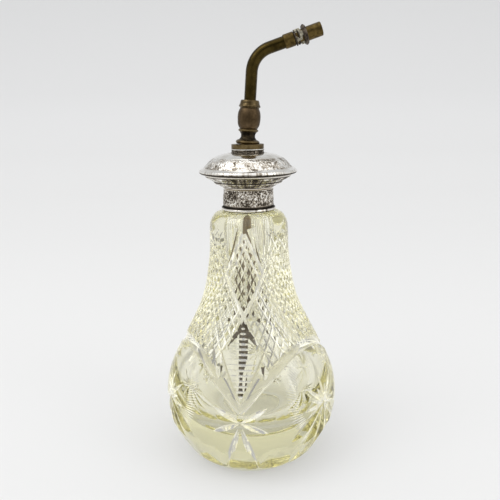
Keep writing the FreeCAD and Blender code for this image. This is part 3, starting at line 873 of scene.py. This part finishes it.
# (radius, height) of the worked fronts from the top down, and of the plain backs upwards
DOME = smooth_curve([(HUB_HOLE, CAP_TOP), (7.0, CAP_TOP), (9.0, 133.75), (11.0, 133.4),
                     (13.0, 132.7), (14.5, 131.9), (15.5, 131.2), (16.5, 130.3), (17.6, 129.1),
                     (18.6, 128.1), (19.4, 127.55), (20.0, 127.3)], 3)
DOME_BACK = [(19.2, 127.3), (17.6, 128.2), (15.9, 129.9), (14.0, 131.4), (11.1, 132.4),
             (8.5, 133.0), (HUB_HOLE, CAP_TOP - SHELL)]
RIM = [(20.0, 127.3), (20.4, 126.95), (20.55, 126.7), (RIM_R, RIM_Z - 0.05), (20.5, 126.0),
       (20.3, 125.75), (19.9, 125.55), (19.4, 125.45)]
RIM_BACK = [(18.2, 125.45), (18.2, 126.9), (18.9, 127.3)]
UNDERSIDE = [(19.0, 125.45), (18.4, 124.75), (17.6, 123.9), (16.0, 123.2), (15.1, 122.7),
             (14.4, 121.8), (14.0, 121.4), (12.3, 120.9), (11.9, 120.4), (11.0, 120.3),
             (10.85, CAP_BOT)]
UNDERSIDE_BACK = [(LINER_R, CAP_BOT), (LINER_R, 121.0), (11.4, 121.3), (13.4, 122.0),
                  (14.2, 123.3), (17.0, 124.6), (18.2, 125.45)]
SLEEVE = [(10.25, 119.45), (10.55, 119.05), (10.8, 112.0)]
BEAD = [(10.3, 111.65)] + [(10.75 + 0.85 * math.sin(a), 110.8 + 0.85 * math.cos(a))
                           for a in np.linspace(0.0, math.pi, 15)]
STUB = [(HUB_HOLE, 135.55), (7.0, 135.55), (7.0, 135.2), (6.75, 135.0), (6.75, 134.3),
        (7.0, 134.1), (7.0, CAP_TOP)]
SILVERWORK = [
    ("chased_cap_dome", "cap_dome", "cap", DOME, DOME_BACK, dome_relief, SILVER),
    ("worn_cap_rim_with_painted_shade", "cap_rim_wire", "cap", RIM, RIM_BACK, rim_relief, SILVER),
    ("chased_cap_underside", "cap_underside", "cap", UNDERSIDE, UNDERSIDE_BACK, underside_relief,
     CHASED),
    ("tarnished_cap_stub", "cap_stub", "cap", STUB, [(HUB_HOLE, CAP_TOP)], stub_relief, CHASED),
    ("chased_collar", "collar_sleeve", "bottle", SLEEVE, [(9.85, 112.0), (9.85, 119.45)],
     collar_relief, CHASED),
    ("worn_collar_bead_with_painted_shade", "collar_bead", "bottle", BEAD,
     [(9.6, 109.95), (9.6, 112.0), (10.3, 112.0)], bead_relief, SILVER)]
for name, stands_for, body, front, back, relief, look in SILVERWORK:
    piece = chased_ring(name, front, back, relief, look)
    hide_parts(stands_for)
    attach(piece, body)


def crust_relief(turns, r, z):
    lumps = cloud(turns, z, 13, 0.85, 21)
    grit = cloud(turns, z, 46, 0.3, 22)
    lift = 0.75 * np.clip((lumps - 0.40) / 0.35, 0, 1) * (0.6 + 0.6 * grit)
    return np.minimum(lift, 0.75), 0 * r


# perished rubber clinging to the spigot between the binding wires and the stop ring
LEAN, RISE = math.radians(4.2), math.radians(18.5)      # of the stem to +X, of the hose arm up
LEAN_Z, ARM_Z, ARM_OUT = 137.5, 173.2, 13.35            # foot of the stem; start of the hose arm
CRUST_IN, CRUST_OUT, CRUST_FROM, CRUST_TO = 2.3, 2.5, 4.35, 7.94
ARM_START = ((ARM_Z - LEAN_Z) * math.tan(LEAN) + ARM_OUT * math.cos(RISE), 0.0,
             ARM_Z + ARM_OUT * math.sin(RISE))
crust = chased_ring("rubber_crust", [(CRUST_OUT, CRUST_TO), (CRUST_OUT, CRUST_FROM)],
                    [(CRUST_IN, CRUST_FROM), (CRUST_IN, CRUST_TO)], crust_relief, RUBBER, 120, 0.15)
crust.data.transform(Matrix.Translation(Vector(ARM_START) * MM)
                     @ Matrix.Rotation(math.pi / 2 - RISE, 4, "Y"))
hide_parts("rubber_remnant")
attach(crust, "swan_neck")

# ---------------------------------------------------------------- table, light, camera
FLOOR_HALF = 3.0                   # the table and the lights are written in metres
floor_mesh = bpy.data.meshes.new("table_top")
# (y, z) of the paper, which lies on the table and curves up behind
sweep = [(-1.2, 0.0), (0.5, 0.0), (0.7, 0.02), (0.85, 0.08), (0.95, 0.2), (1.0, 0.4), (1.0, 2.2)]
floor_mesh.from_pydata([(x, y, z) for y, z in sweep for x in (-FLOOR_HALF, FLOOR_HALF)], [],
                       [(2 * i, 2 * i + 1, 2 * i + 3, 2 * i + 2) for i in range(len(sweep) - 1)])
floor_mesh.shade_smooth()
floor = bpy.data.objects.new("table_top", floor_mesh)
bpy.context.scene.collection.objects.link(floor)
paper, paper_tree, paper_bsdf, _ = material("paper")
paper_place = paper_tree.nodes.new("ShaderNodeTexCoord")
paper_split = paper_tree.nodes.new("ShaderNodeSeparateXYZ")
paper_tree.links.new(paper_place.outputs["Object"], paper_split.inputs["Vector"])
# the paper loses a little light as it rises behind the bottle
fade = ramp(paper_tree, paper_split, [(0.0, (0.455, 0.455, 0.452)), (0.15, (0.44, 0.442, 0.445)),
                                      (0.75, (0.30, 0.304, 0.31))], "Z")
paper_tree.links.new(fade.outputs["Color"], paper_bsdf.inputs["Base Color"])
# the paper glows a little: painted light that lifts the shadow beneath the bottle
paper_bsdf.inputs["Emission Color"].default_value = (0.99, 0.995, 1.0, 1)
paper_bsdf.inputs["Emission Strength"].default_value = 0.36
paper_bsdf.inputs["Roughness"].default_value = 0.85
floor_mesh.materials.append(paper)

world = bpy.context.scene.world or bpy.data.worlds.new("World")
bpy.context.scene.world = world
world.use_nodes = True
wt = world.node_tree
coords = wt.nodes.new("ShaderNodeTexCoord")
# a white tent all round with one dark opening in front, and more light from straight above
facing = wt.nodes.new("ShaderNodeVectorMath")
facing.operation = "DOT_PRODUCT"
facing.inputs[1].default_value = (0.0, -0.94, 0.34)
wt.links.new(coords.outputs["Generated"], facing.inputs[0])
opening = ramp(wt, facing, [(0.0, 1.0), (0.72, 1.0), (0.87, (0.95, 0.945, 0.94)),
                            (0.97, (0.89, 0.88, 0.87)), (0.987, 0.15), (1.0, 0.05)], "Value")
split = wt.nodes.new("ShaderNodeSeparateXYZ")
wt.links.new(coords.outputs["Generated"], split.inputs["Vector"])
above = ramp(wt, split, [(0.0, 0.86), (0.45, 0.9), (0.8, 1.35), (1.0, 1.5)], "Z")
tent = wt.nodes.new("ShaderNodeVectorMath")
tent.operation = "MULTIPLY"
wt.links.new(opening.outputs["Color"], tent.inputs[0])
wt.links.new(above.outputs["Color"], tent.inputs[1])
wt.links.new(tent.outputs["Vector"], wt.nodes["Background"].inputs["Color"])
wt.nodes["Background"].inputs["Strength"].default_value = 0.88


def area_light(name, place, target, size, power):
    data = bpy.data.lights.new(name, "AREA")
    data.shape = "RECTANGLE"
    data.size, data.size_y = size
    data.energy = power
    obj = bpy.data.objects.new(name, data)
    obj.location = place
    obj.rotation_euler = (Vector(target) - Vector(place)).to_track_quat("-Z", "Y").to_euler()
    bpy.context.scene.collection.objects.link(obj)


area_light("key", (-0.45, -0.25, 0.75), (0, 0, 0.09), (0.45, 0.45), 1.6)
area_light("fill", (0.55, -0.35, 0.45), (0, 0, 0.09), (0.3, 0.5), 0.7)

CAM_SIDE, CAM_D, CAM_H, CAM_PITCH, CAM_ROLL = 0.36, 237.5, 148.2, 13.3, -0.85
cam_data = bpy.data.cameras.new("camera")
cam_data.sensor_width = 36.0
cam_data.lens = 40.32
cam_data.clip_start = 0.01
camera = bpy.data.objects.new("camera", cam_data)
camera.matrix_world = (Matrix.Translation((CAM_SIDE * MM, -CAM_D * MM, CAM_H * MM))
                       @ Matrix.Rotation(math.radians(90 - CAM_PITCH), 4, "X")
                       @ Matrix.Rotation(math.radians(CAM_ROLL), 4, "Z"))
bpy.context.scene.collection.objects.link(camera)
bpy.context.scene.camera = camera
bpy.context.scene.view_settings.view_transform = "Standard"
cycles = bpy.context.scene.cycles
cycles.max_bounces = 24
cycles.transmission_bounces = 24
cycles.glossy_bounces = 8
cycles.diffuse_bounces = 4
